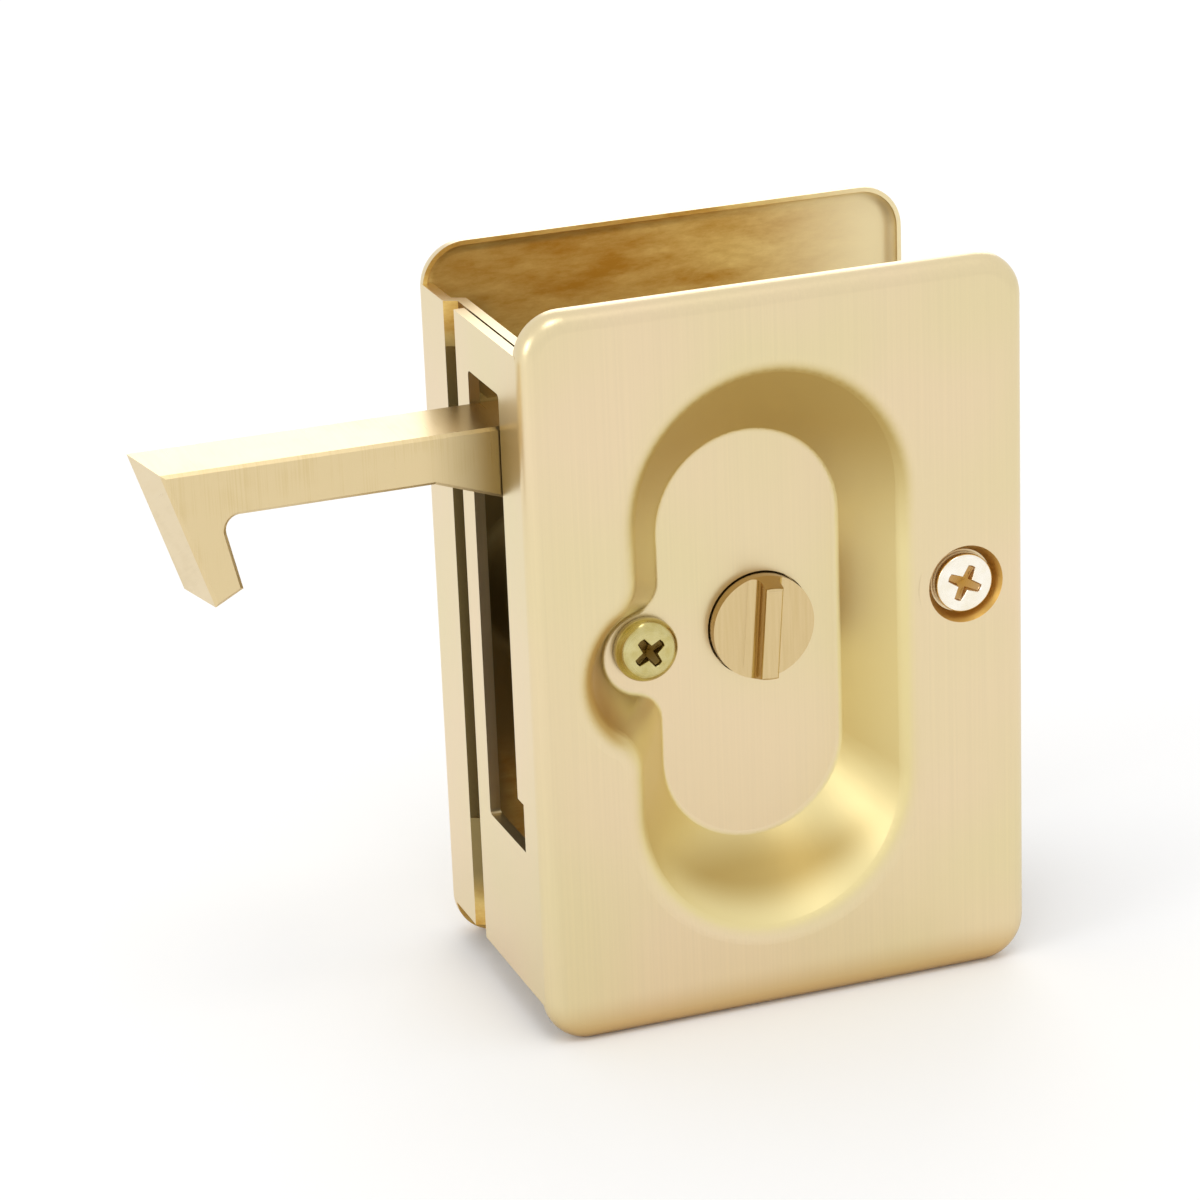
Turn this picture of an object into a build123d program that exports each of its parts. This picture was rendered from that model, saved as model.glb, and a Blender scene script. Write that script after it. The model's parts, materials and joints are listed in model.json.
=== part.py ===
from build123d import *
import os
from math import acos, atan2, cos, degrees, hypot, sin

# Pocket door lockset: two pressed plates grip a notch in the door's edge, each with a finger cup.
# The inside half carries the thumb turn and a hook bolt that swings out of the edge. The outside
# half slides on the two screws to suit the door. Origin: centre of the inside plate, on the door's
# inside face. +X runs into the door, away from the hook, +Y through the door and +Z up. Millimetres.

# Plates
PLATE_WIDTH = 57.15
PLATE_HEIGHT = 82.55
CORNER_RADIUS = 5.0
RIM_HEIGHT = 2.6
RIM_ROLL = 2.0
RIM_EDGE = 0.5
RIM_INNER_ROUND = 1.3
SHEET = 1.2
DOOR_THICKNESS = 30.0

# Finger cups, with a round lobe for the left screw
CUP_X = -1.3
CUP_DEPTH = 7.6
CUP_MOUTH_WIDTH = 31.8
CUP_MOUTH_HEIGHT = 65.2
CUP_FLOOR_WIDTH = 21.0
CUP_FLOOR_HEIGHT = 46.8
CUP_MOUTH_ROUND = 3.3
CUP_FLOOR_ROUND = 0.8
OUTSIDE_CUP_SHORTER = 7.0
LOBE_MOUTH_SHARE = 0.358
LOBE_FLOOR_RADIUS = 4.9
LOBE_MOUTH_BLEND = 6.0
LOBE_FLOOR_BLEND = 3.0

# Edge flanges: the outside half's tongues slide behind the inside half's flange
FLANGE_HEIGHT = 73.8
FLANGE_REACH = 19.2
STEP_WIDTH = 7.1
STEP_SLOPE = 0.8
TONGUE_OVERLAP = 16.6
TONGUE_GAP = 0.25
TONGUE_NOTCH_TOP = 31.8
TONGUE_NOTCH_BOTTOM = -23.7
SLOT_TOP = 31.2
SLOT_BOTTOM = -20.2
SLOT_SIDE_GAP = 0.3
SLOT_CORNER = 0.6
NICK_WIDTH = 1.9
NICK_HEIGHT = 5.6

# Screws and posts
LEFT_SCREW_X = -13.5
LEFT_SCREW_Z = 0.5
RIGHT_SCREW_INSET = 7.3
RIGHT_SCREW_Z = 4.7
SCREW_DIAMETER = 4.0
SCREW_CLEARANCE = 0.1
LEFT_HEAD_DIAMETER = 7.2
LEFT_HEAD_HEIGHT = 2.0
LEFT_HEAD_CROWN = 1.2
LEFT_CROSS_TURN = 27.0
RIGHT_HEAD_DIAMETER = 6.6
RIGHT_HEAD_HEIGHT = 1.35
RIGHT_HEAD_CROWN = 0.27
RIGHT_CROSS_TURN = -26.0
CROSS_LENGTH = 4.3
CROSS_ARM = 1.0
CROSS_DEPTH = 1.1
DIMPLE_MOUTH = 8.8
DIMPLE_FLOOR = 7.1
DIMPLE_DEPTH = 1.5
POST_DIAMETER = 6.0
POST_END_GAP = 0.4
SCREW_END_GAP = 0.8

# Thumb turn and outside release
TURN_Z = 1.1
TURN_HOLE = 12.1
TURN_BUTTON = 11.8
TURN_STAND = 1.4
RELEASE_RECESS = 0.7
BLADE_WIDTH = 2.1
BLADE_LENGTH = 10.4
BLADE_STAND = 4.0
BLADE_COVE = 1.1
BLADE_ROUND = 0.4
BLADE_LEAN = 4.6
TURN_FLANGE = 16.0
TURN_FLANGE_THICK = 1.0
RUN_GAP = 0.2
BARREL_DIAMETER = 6.6
TAIL_SQUARE = 2.8
TAIL_CLEARANCE = 0.08
TAIL_END_GAP = 1.2
COIN_SLOT_WIDTH = 1.8
COIN_SLOT_DEPTH = 1.5

# Retainers that hold both turns against the cup floors
WASHER_THICK = 0.4
WASHER_WIDTH = 2.2
RETAINER_THICK = 0.8
RETAINER_DIAMETER = 19.4
RETAINER_FOOT_WIDTH = 8.0
RETAINER_FOOT_REACH = 15.0
RETAINER_BORE_GAP = 1.2
STOP_PIN_DIAMETER = 2.4
STOP_PIN_RADIUS = 7.0
STOP_GAP = 0.3

# Drive: a crank on the turn moves the hook's tail through a link of equal cranks
CRANK_LENGTH = 8.5
CRANK_REST_ANGLE = -6.0
CRANK_TRAVEL = 90.0
CRANK_GAP = 1.2
CRANK_THICK = 2.4
CRANK_HUB_RADIUS = 5.2
CRANK_EYE_RADIUS = 2.4
LINK_GAP = 0.25
LINK_THICK = 1.6
LINK_WIDTH = 3.2
LINK_EYE_RADIUS = 2.2
DRIVE_PIN_DIAMETER = 2.8
DRIVE_PIN_CLEARANCE = 0.05
OPEN_PIVOT_CLEARANCE = 0.2
PIN_HEAD_DIAMETER = 4.4
PIN_HEAD_HEIGHT = 0.7

# Hook bolt
PIVOT_INSET = 4.575
PIVOT_Z = 23.0
HOOK_FRONT = 5.6
HOOK_THICK = 9.4
HOOK_BOSS_RADIUS = 4.6
HOOK_REACH = 42.5
HOOK_END_SKEW = 1.4
ARM_HEIGHT = 5.35
FLARE_START = 11.8
BEAK_DROP = 15.75
BEAK_SLANT = 5.05
BEAK_WIDTH = 7.5
BEAK_TIP_WIDTH = 4.25
BEAK_TIP_RISE = 2.25
BEAK_FILLET = 1.6
HOOK_EDGE = 0.35
PIVOT_PIN_DIAMETER = 4.0
PIVOT_CLEARANCE = 0.05
PIVOT_STAKE = 0.3
EAR_THICK = 1.2
EAR_FOOT = 3.4
EAR_HALF_HEIGHT = 4.4

# Levels through the door, and places worked out from the sizes
FACE_Y = -RIM_HEIGHT
FLOOR_Y = FACE_Y + CUP_DEPTH
FLOOR_BACK = FLOOR_Y + SHEET
EDGE_X = -PLATE_WIDTH / 2
LOBE_MOUTH_RADIUS = LEFT_HEAD_DIAMETER / 2 + LOBE_MOUTH_SHARE * (LEFT_SCREW_X - EDGE_X)
FLANGE_ROOT = FACE_Y + RIM_ROLL
EDGE_BACK = EDGE_X + SHEET
PIVOT_X = EDGE_X + PIVOT_INSET
RIGHT_SCREW_X = PLATE_WIDTH / 2 - RIGHT_SCREW_INSET
HOOK_BACK = HOOK_FRONT + HOOK_THICK
TURN_FLANGE_FRONT = FLOOR_BACK + RUN_GAP
TURN_FLANGE_BACK = TURN_FLANGE_FRONT + TURN_FLANGE_THICK
WASHER_FRONT = TURN_FLANGE_BACK + RUN_GAP
RETAINER_FRONT = WASHER_FRONT + WASHER_THICK
RETAINER_BACK = RETAINER_FRONT + RETAINER_THICK
CRANK_FRONT = RETAINER_BACK + CRANK_GAP
CRANK_BACK = CRANK_FRONT + CRANK_THICK
LINK_FRONT = CRANK_BACK + LINK_GAP
LINK_BACK = LINK_FRONT + LINK_THICK
BARREL_END = DOOR_THICKNESS - TURN_FLANGE_BACK - RUN_GAP
BORE_START = FLOOR_Y + TAIL_END_GAP
CRANK_ARM = Vector(CRANK_LENGTH, 0).rotate(Axis.Z, CRANK_REST_ANGLE)
CRANK_END = Vector(0, TURN_Z) + CRANK_ARM
TAIL_END = Vector(PIVOT_X, PIVOT_Z) + CRANK_ARM
TURN_AXIS = Pos(0, 0, TURN_Z)


def slab(sketch, front, back):
    """A sketch drawn in X and Z, as thick as from level front to level back."""
    return extrude(Plane.XZ.offset(-back) * sketch, back - front)


def rod(diameter, front, back, x=0.0, z=0.0):
    """A round bar along Y."""
    return slab(Pos(x, z) * Circle(diameter / 2), front, back)


def mirrored(piece):
    """The same piece on the outside half, which faces the other way."""
    return Pos(0, DOOR_THICKNESS, 0) * mirror(piece, Plane.XZ)


def cup_outline(width, height, lobe_radius, blend):
    """A stadium with a round lobe on its hook side, blended where the two meet."""
    stadium = Pos(CUP_X, 0) * SlotOverall(height, width, rotation=90)
    outline = stadium + Pos(LEFT_SCREW_X, 0) * Circle(lobe_radius)
    meeting = outline.vertices().sort_by(lambda v: abs(v.Y))[:2]
    return fillet(meeting, blend)


def cup_solid(shorter, floor_y, floor_grow, mouth_grow):
    """The drawn cup's inside, or its outside where it is grown by the sheet."""
    mouth_ease = 1 - shorter / (CUP_MOUTH_HEIGHT - CUP_MOUTH_WIDTH)
    floor_ease = 1 - shorter / (CUP_FLOOR_HEIGHT - CUP_FLOOR_WIDTH)
    mouth = cup_outline(
        CUP_MOUTH_WIDTH + 2 * mouth_grow,
        CUP_MOUTH_HEIGHT - shorter + 2 * mouth_grow,
        LOBE_MOUTH_RADIUS + mouth_grow,
        LOBE_MOUTH_BLEND * mouth_ease - mouth_grow,
    )
    floor = cup_outline(
        CUP_FLOOR_WIDTH + 2 * floor_grow,
        CUP_FLOOR_HEIGHT - shorter + 2 * floor_grow,
        LOBE_FLOOR_RADIUS + floor_grow,
        LOBE_FLOOR_BLEND * floor_ease - floor_grow,
    )
    sections = [Plane.XZ.offset(-FACE_Y) * mouth, Plane.XZ.offset(-floor_y) * floor]
    return loft(sections, ruled=True)


def pressed_plate(shorter):
    """A plate with a rolled rim and its finger cup, without the edge flange."""
    outline = RectangleRounded(PLATE_WIDTH, PLATE_HEIGHT, CORNER_RADIUS)
    inside = RectangleRounded(
        PLATE_WIDTH - 2 * RIM_EDGE, PLATE_HEIGHT - 2 * RIM_EDGE, CORNER_RADIUS - RIM_EDGE
    )
    tray = slab(outline, FACE_Y, 0)
    tray = fillet(tray.edges().group_by(Axis.Y)[0], RIM_ROLL)
    hollow = slab(inside, FACE_Y + SHEET, 0)
    hollow = fillet(hollow.edges().group_by(Axis.Y)[0], RIM_INNER_ROUND)

    wall_angle = atan2((CUP_MOUTH_WIDTH - CUP_FLOOR_WIDTH) / 2, CUP_DEPTH)
    mouth_grow = SHEET / cos(wall_angle)
    floor_grow = SHEET * (1 - sin(wall_angle)) / cos(wall_angle)
    bulge = cup_solid(shorter, FLOOR_BACK, floor_grow, mouth_grow)
    plate = tray - hollow + bulge - cup_solid(shorter, FLOOR_Y, 0, 0)

    mouth = plate.faces().sort_by(Axis.Y)[0].inner_wires()[0].edges()
    plate = fillet(mouth, CUP_MOUTH_ROUND)
    flats = plate.faces().filter_by(Plane.XZ)
    back = flats.sort_by(lambda f: abs(f.center().Y - FACE_Y - SHEET))[0]
    plate = fillet(back.inner_wires()[0].edges(), CUP_MOUTH_ROUND - SHEET)
    floor = plate.edges().filter_by_position(Axis.Y, FLOOR_Y, FLOOR_Y)
    return fillet(floor, CUP_FLOOR_ROUND)


def inside_plate():
    """The inside half: plate, edge flange with the hook's slot, turn hole and screw seats."""
    reach = FLANGE_REACH - FLANGE_ROOT
    flange = Box(SHEET, reach, FLANGE_HEIGHT, align=(Align.MIN, Align.MIN, Align.CENTER))
    plate = pressed_plate(0) + Pos(EDGE_X, FLANGE_ROOT, 0) * flange

    slot_width = HOOK_THICK + 2 * SLOT_SIDE_GAP
    slot_height = SLOT_TOP - SLOT_BOTTOM
    slot = Pos(HOOK_FRONT + HOOK_THICK / 2, (SLOT_TOP + SLOT_BOTTOM) / 2) * RectangleRounded(
        slot_width, slot_height, SLOT_CORNER
    )
    nick_y = HOOK_FRONT - SLOT_SIDE_GAP - NICK_WIDTH
    nick = Pos(nick_y, SLOT_BOTTOM) * Rectangle(
        NICK_WIDTH + SLOT_CORNER * 2, NICK_HEIGHT, align=(Align.MIN, Align.MIN)
    )
    plate -= extrude(Plane.YZ.offset(EDGE_X) * (slot + nick), SHEET)

    dimple = Plane.XZ.offset(-FACE_Y) * Pos(RIGHT_SCREW_X, RIGHT_SCREW_Z)
    bulge = Cone(DIMPLE_MOUTH / 2 + SHEET, DIMPLE_FLOOR / 2 + SHEET, DIMPLE_DEPTH + SHEET)
    recess = Cone(DIMPLE_MOUTH / 2, DIMPLE_FLOOR / 2, DIMPLE_DEPTH)
    plate += dimple * Pos(0, 0, -(DIMPLE_DEPTH + SHEET) / 2) * Rot(180, 0, 0) * bulge
    plate -= dimple * Pos(0, 0, -DIMPLE_DEPTH / 2) * Rot(180, 0, 0) * recess

    bore = SCREW_DIAMETER + 2 * SCREW_CLEARANCE
    plate -= rod(bore, FACE_Y, FLOOR_BACK, RIGHT_SCREW_X, RIGHT_SCREW_Z)
    plate -= rod(bore, FACE_Y, FLOOR_BACK, LEFT_SCREW_X, LEFT_SCREW_Z)
    return plate - rod(TURN_HOLE, FACE_Y, FLOOR_BACK, 0, TURN_Z)


def outside_plate():
    """The outside half: plate, stepped edge flange with two tongues, and the release hole."""
    step_y = DOOR_THICKNESS - STEP_WIDTH
    shift = SHEET + TONGUE_GAP
    tip_y = FLANGE_REACH - TONGUE_OVERLAP
    outer = [
        (EDGE_X, DOOR_THICKNESS - FLANGE_ROOT),
        (EDGE_X, step_y),
        (EDGE_X + shift, step_y - STEP_SLOPE),
        (EDGE_X + shift, tip_y),
    ]
    inner = [
        (EDGE_BACK + shift, tip_y),
        (EDGE_BACK + shift, step_y),
        (EDGE_BACK, step_y + STEP_SLOPE),
        (EDGE_BACK, DOOR_THICKNESS - FLANGE_ROOT),
    ]
    profile = make_face(Polyline(*outer, *inner, close=True))
    flange = Pos(0, 0, -FLANGE_HEIGHT / 2) * extrude(profile, FLANGE_HEIGHT)
    notch = Pos(tip_y, TONGUE_NOTCH_BOTTOM) * Rectangle(
        step_y - tip_y,
        TONGUE_NOTCH_TOP - TONGUE_NOTCH_BOTTOM,
        align=(Align.MIN, Align.MIN),
    )
    flange -= extrude(Plane.YZ.offset(EDGE_X) * notch, shift + SHEET)
    plate = mirrored(pressed_plate(OUTSIDE_CUP_SHORTER)) + flange
    back = DOOR_THICKNESS - FACE_Y
    return plate - rod(TURN_HOLE, DOOR_THICKNESS - FLOOR_BACK, back, 0, TURN_Z)


def screw(head_diameter, head_front, seat, end, crown, cross_turn, x, z):
    """A machine screw with a cross recess; the head lies between head_front and seat."""
    head = rod(head_diameter, head_front, seat)
    head = fillet(head.edges().group_by(Axis.Y)[0], crown)
    bar = Rectangle(CROSS_LENGTH, CROSS_ARM)
    cross = Rot(0, 0, cross_turn) * (bar + Rot(0, 0, 90) * bar)
    head -= slab(cross, head_front, head_front + CROSS_DEPTH)
    return Pos(x, 0, z) * (head + rod(SCREW_DIAMETER, seat, end))


def left_screw():
    end = DOOR_THICKNESS - FLOOR_BACK - SCREW_END_GAP
    front = FLOOR_Y - LEFT_HEAD_HEIGHT
    place = (LEFT_SCREW_X, LEFT_SCREW_Z)
    return screw(LEFT_HEAD_DIAMETER, front, FLOOR_Y, end, LEFT_HEAD_CROWN, LEFT_CROSS_TURN, *place)


def right_screw():
    seat = FACE_Y + DIMPLE_DEPTH
    end = DOOR_THICKNESS + RIM_HEIGHT - SHEET - SCREW_END_GAP
    front = seat - RIGHT_HEAD_HEIGHT
    place = (RIGHT_SCREW_X, RIGHT_SCREW_Z)
    return screw(RIGHT_HEAD_DIAMETER, front, seat, end, RIGHT_HEAD_CROWN, RIGHT_CROSS_TURN, *place)


def post(front, back, x, z):
    """A threaded post on the outside half, open to the screw's end."""
    bore = rod(SCREW_DIAMETER + 2 * SCREW_CLEARANCE, front, back - SCREW_END_GAP / 2)
    return Pos(x, 0, z) * (rod(POST_DIAMETER, front, back) - bore)


def left_post():
    back = DOOR_THICKNESS - FLOOR_BACK
    return post(FLOOR_BACK + POST_END_GAP, back, LEFT_SCREW_X, LEFT_SCREW_Z)


def right_post():
    front = FACE_Y + DIMPLE_DEPTH + SHEET + POST_END_GAP
    return post(front, DOOR_THICKNESS + RIM_HEIGHT - SHEET, RIGHT_SCREW_X, RIGHT_SCREW_Z)


def turn_button(face):
    """The round button in the cup floor with its flange behind, made for both turns."""
    button = rod(TURN_BUTTON, face, TURN_FLANGE_FRONT)
    return button + rod(TURN_FLANGE, TURN_FLANGE_FRONT, TURN_FLANGE_BACK)


def thumb_turn():
    """Button with a finger blade across it, and a barrel with a square bore for the release."""
    blade_front = FLOOR_Y - BLADE_STAND
    face = FLOOR_Y - TURN_STAND
    height = face - blade_front
    blade = Cone(TURN_BUTTON / 2, BLADE_LENGTH / 2, height, rotation=(90, 0, 0))
    blade = Pos(0, face - height / 2, 0) * blade
    side = Rectangle(TURN_BUTTON, face - blade_front, align=(Align.MIN, Align.MAX))
    corner = side.vertices().sort_by(lambda v: v.X - v.Y)[:1]
    side = fillet(corner, BLADE_COVE)
    side = extrude(Pos(BLADE_WIDTH / 2, face) * side, TURN_BUTTON, both=True)
    blade -= side
    blade -= mirror(side, Plane.YZ)
    blade = Rot(0, BLADE_LEAN, 0) * fillet(blade.edges().group_by(Axis.Y)[0], BLADE_ROUND)
    barrel = rod(BARREL_DIAMETER, TURN_FLANGE_BACK, BARREL_END)
    square = TAIL_SQUARE + 2 * TAIL_CLEARANCE
    turn = turn_button(face) + blade + barrel
    return turn - slab(Rectangle(square, square), BORE_START, BARREL_END)


def release_turn():
    """Outside button with a coin slot, and a square tail that slides in the turn's barrel."""
    face = FLOOR_Y + RELEASE_RECESS
    slot = Rectangle(COIN_SLOT_WIDTH, TURN_BUTTON)
    button = turn_button(face) - slab(slot, face, face + COIN_SLOT_DEPTH)
    tail_end = DOOR_THICKNESS - BORE_START - RUN_GAP
    tail = slab(Rectangle(TAIL_SQUARE, TAIL_SQUARE), TURN_FLANGE_BACK, tail_end)
    return mirrored(button + tail)


def turn_washer():
    """Friction washer between the turn's flange and its retainer."""
    bore = BARREL_DIAMETER + 2 * RETAINER_BORE_GAP
    return rod(bore + 2 * WASHER_WIDTH, WASHER_FRONT, RETAINER_FRONT) - rod(
        bore, WASHER_FRONT, RETAINER_FRONT
    )


def turn_retainer():
    """A round bridge over the turn's flange, with two feet on the back of the cup floor."""
    bridge = rod(RETAINER_DIAMETER, RETAINER_FRONT, RETAINER_BACK)
    foot = Rectangle(RETAINER_FOOT_WIDTH, 2 * RETAINER_FOOT_REACH)
    ring = RETAINER_DIAMETER - 2 * RETAINER_THICK
    legs = slab(foot, FLOOR_BACK, RETAINER_BACK) - rod(ring, FLOOR_BACK, RETAINER_BACK)
    legs -= slab(foot, FLOOR_BACK + RETAINER_THICK, RETAINER_BACK) - rod(
        RETAINER_DIAMETER, FLOOR_BACK, RETAINER_BACK
    )
    bore = BARREL_DIAMETER + 2 * RETAINER_BORE_GAP
    return bridge + legs - rod(bore, FLOOR_BACK, RETAINER_BACK)


def stop_pin(side):
    """A pin on the retainer that the crank's arm meets at one end of its quarter turn."""
    swing = CRANK_REST_ANGLE + (CRANK_TRAVEL if side > 0 else 0)
    flank = acos((CRANK_HUB_RADIUS - CRANK_EYE_RADIUS) / CRANK_LENGTH)
    reach = CRANK_HUB_RADIUS + STOP_GAP + STOP_PIN_DIAMETER / 2
    angle = flank - acos(reach / STOP_PIN_RADIUS)
    place = Vector(STOP_PIN_RADIUS, 0).rotate(Axis.Z, swing + side * degrees(angle))
    return rod(STOP_PIN_DIAMETER, RETAINER_BACK, CRANK_BACK, place.X, place.Y)


def eye_bar(start, start_radius, end, end_radius):
    """The outline of a flat arm that runs from one round end to another."""
    ends = [Pos(start.X, start.Y) * Circle(start_radius), Pos(end.X, end.Y) * Circle(end_radius)]
    return make_hull([e for end_circle in ends for e in end_circle.edges()])


def drive_crank():
    arm = eye_bar(Vector(0, 0), CRANK_HUB_RADIUS, CRANK_ARM, CRANK_EYE_RADIUS)
    arm -= Circle(BARREL_DIAMETER / 2)
    arm -= Pos(CRANK_ARM.X, CRANK_ARM.Y) * Circle(DRIVE_PIN_DIAMETER / 2)
    return slab(arm, CRANK_FRONT, CRANK_BACK)


def drive_pin(place):
    """A headed pin that stands in a crank and carries one end of the link."""
    head_front = LINK_BACK + LINK_GAP
    shank = rod(DRIVE_PIN_DIAMETER, CRANK_FRONT, head_front, place.X, place.Y)
    return shank + rod(PIN_HEAD_DIAMETER, head_front, head_front + PIN_HEAD_HEIGHT, place.X, place.Y)


def drive_link():
    """The flat link; its hook end has the larger bore."""
    link = eye_bar(CRANK_END, LINK_WIDTH / 2, TAIL_END, LINK_WIDTH / 2)
    for place, clearance in ((CRANK_END, DRIVE_PIN_CLEARANCE), (TAIL_END, OPEN_PIVOT_CLEARANCE)):
        link += Pos(place.X, place.Y) * Circle(LINK_EYE_RADIUS)
        link -= Pos(place.X, place.Y) * Circle(DRIVE_PIN_DIAMETER / 2 + clearance)
    return slab(link, LINK_FRONT, LINK_BACK)


def hook_bolt():
    """Arm with a slanted, skewed beak, a boss on the pivot and a thin tail for the link."""
    arm_low = HOOK_BOSS_RADIUS - ARM_HEIGHT
    tip_z = HOOK_BOSS_RADIUS - BEAK_DROP
    tip_x = BEAK_SLANT - HOOK_REACH
    heel = hypot(FLARE_START, arm_low)
    contact = 90 + degrees(atan2(arm_low, -FLARE_START)) - degrees(
        atan2(HOOK_BOSS_RADIUS, (heel**2 - HOOK_BOSS_RADIUS**2) ** 0.5)
    )
    flare = Vector(HOOK_BOSS_RADIUS, 0).rotate(Axis.Z, contact)
    outline = Polyline(
        (0, HOOK_BOSS_RADIUS),
        (-HOOK_REACH, HOOK_BOSS_RADIUS),
        (tip_x, tip_z),
        (tip_x + BEAK_TIP_WIDTH, tip_z + BEAK_TIP_RISE),
        (BEAK_WIDTH - HOOK_REACH, arm_low),
        (-FLARE_START, arm_low),
        (flare.X, flare.Y),
        (0, 0),
        close=True,
    )
    side = make_face(outline)
    inner_corner = side.vertices().sort_by_distance((BEAK_WIDTH - HOOK_REACH, arm_low))[:1]
    side = fillet(inner_corner, BEAK_FILLET) + Circle(HOOK_BOSS_RADIUS)
    hook = slab(side, HOOK_FRONT, HOOK_BACK)
    down = Vector(BEAK_SLANT, 0, -BEAK_DROP)
    forward = Vector(HOOK_END_SKEW, -HOOK_THICK, 0)
    end_face = Plane((-HOOK_REACH, HOOK_BACK, HOOK_BOSS_RADIUS), z_dir=forward.cross(down))
    hook = split(hook, end_face, keep=Keep.TOP)
    hook = chamfer(hook.edges().group_by(Axis.Y)[0] + hook.edges().group_by(Axis.Y)[-1], HOOK_EDGE)
    tail = eye_bar(Vector(0, 0), CRANK_EYE_RADIUS, CRANK_ARM, CRANK_EYE_RADIUS)
    hook += slab(tail, CRANK_FRONT, CRANK_BACK)
    hook -= rod(PIVOT_PIN_DIAMETER + 2 * PIVOT_CLEARANCE, HOOK_FRONT, HOOK_BACK)
    hook -= rod(DRIVE_PIN_DIAMETER, CRANK_FRONT, CRANK_BACK, CRANK_ARM.X, CRANK_ARM.Y)
    return Pos(PIVOT_X, 0, PIVOT_Z) * hook


def pivot_ear(seat, side):
    """An angle on the flange's inner face; its ear holds the pivot pin beside the hook."""
    back = seat + side * EAR_THICK
    foot_end = seat + side * (EAR_THICK + EAR_FOOT)
    depth = PIVOT_X - EDGE_BACK
    web = Rectangle(depth, 2 * EAR_HALF_HEIGHT, align=(Align.MAX, Align.CENTER))
    nose = Rectangle(EAR_HALF_HEIGHT, 2 * EAR_HALF_HEIGHT, align=(Align.MIN, Align.CENTER))
    web += nose & Circle(EAR_HALF_HEIGHT)
    web -= Circle(PIVOT_PIN_DIAMETER / 2)
    ear = slab(Pos(PIVOT_X, PIVOT_Z) * web, min(seat, back), max(seat, back))
    reach = EAR_THICK + EAR_FOOT
    foot = Box(EAR_THICK, reach, 2 * EAR_HALF_HEIGHT, align=(Align.MIN, Align.MIN, Align.CENTER))
    return ear + Pos(EDGE_BACK, min(seat, foot_end), PIVOT_Z) * foot


def hook_pivot_pin():
    """A pin through both ears, staked at each end."""
    overhang = SLOT_SIDE_GAP + EAR_THICK + PIVOT_STAKE
    pin = rod(PIVOT_PIN_DIAMETER, HOOK_FRONT - overhang, HOOK_BACK + overhang, PIVOT_X, PIVOT_Z)
    return chamfer(pin.edges(), PIVOT_STAKE)


pieces = {
    "inside_plate": inside_plate(),
    "near_pivot_ear": pivot_ear(HOOK_FRONT - SLOT_SIDE_GAP, -1),
    "far_pivot_ear": pivot_ear(HOOK_BACK + SLOT_SIDE_GAP, 1),
    "hook_pivot_pin": hook_pivot_pin(),
    "turn_retainer": TURN_AXIS * turn_retainer(),
    "turn_washer": TURN_AXIS * turn_washer(),
    "stop_pin_out": TURN_AXIS * stop_pin(-1),
    "stop_pin_in": TURN_AXIS * stop_pin(1),
    "left_screw": left_screw(),
    "right_screw": right_screw(),
    "thumb_turn": TURN_AXIS * thumb_turn(),
    "drive_crank": TURN_AXIS * drive_crank(),
    "crank_pin": drive_pin(CRANK_END),
    "drive_link": drive_link(),
    "hook_bolt": hook_bolt(),
    "hook_tail_pin": drive_pin(TAIL_END),
    "outside_plate": outside_plate(),
    "left_post": left_post(),
    "right_post": right_post(),
    "release_retainer": TURN_AXIS * mirrored(turn_retainer()),
    "release_washer": TURN_AXIS * mirrored(turn_washer()),
    "release_turn": TURN_AXIS * release_turn(),
}
os.makedirs("parts", exist_ok=True)
for name, piece in pieces.items():
    export_step(piece, f"parts/{name}.step")
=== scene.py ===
import json
import math

import bpy
import numpy as np
from mathutils import Matrix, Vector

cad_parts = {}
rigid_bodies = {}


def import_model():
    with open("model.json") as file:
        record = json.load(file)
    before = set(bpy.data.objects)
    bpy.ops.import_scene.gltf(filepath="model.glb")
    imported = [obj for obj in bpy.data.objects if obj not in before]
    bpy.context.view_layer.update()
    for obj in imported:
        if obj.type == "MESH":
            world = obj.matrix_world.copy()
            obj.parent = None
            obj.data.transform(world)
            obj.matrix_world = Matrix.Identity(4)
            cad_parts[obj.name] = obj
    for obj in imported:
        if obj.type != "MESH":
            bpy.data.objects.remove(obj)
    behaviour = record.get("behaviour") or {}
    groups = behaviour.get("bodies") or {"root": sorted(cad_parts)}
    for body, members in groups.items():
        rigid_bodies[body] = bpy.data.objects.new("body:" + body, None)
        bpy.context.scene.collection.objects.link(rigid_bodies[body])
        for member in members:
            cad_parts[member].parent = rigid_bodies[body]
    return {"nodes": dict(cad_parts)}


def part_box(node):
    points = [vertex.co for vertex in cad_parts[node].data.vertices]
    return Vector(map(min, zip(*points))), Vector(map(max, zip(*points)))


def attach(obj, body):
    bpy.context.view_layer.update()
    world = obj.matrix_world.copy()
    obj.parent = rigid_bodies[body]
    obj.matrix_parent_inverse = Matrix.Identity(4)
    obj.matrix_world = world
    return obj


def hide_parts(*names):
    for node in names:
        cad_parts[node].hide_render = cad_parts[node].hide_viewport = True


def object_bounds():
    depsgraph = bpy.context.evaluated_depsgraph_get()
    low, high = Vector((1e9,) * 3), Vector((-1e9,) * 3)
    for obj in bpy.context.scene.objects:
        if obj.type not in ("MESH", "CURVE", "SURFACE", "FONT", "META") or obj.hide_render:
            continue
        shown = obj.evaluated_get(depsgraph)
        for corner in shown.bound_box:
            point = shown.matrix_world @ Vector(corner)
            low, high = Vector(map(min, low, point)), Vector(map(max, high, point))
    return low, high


for leftover in list(bpy.data.objects):
    bpy.data.objects.remove(leftover)
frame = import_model()
cad_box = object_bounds()
nodes = frame["nodes"]

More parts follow.
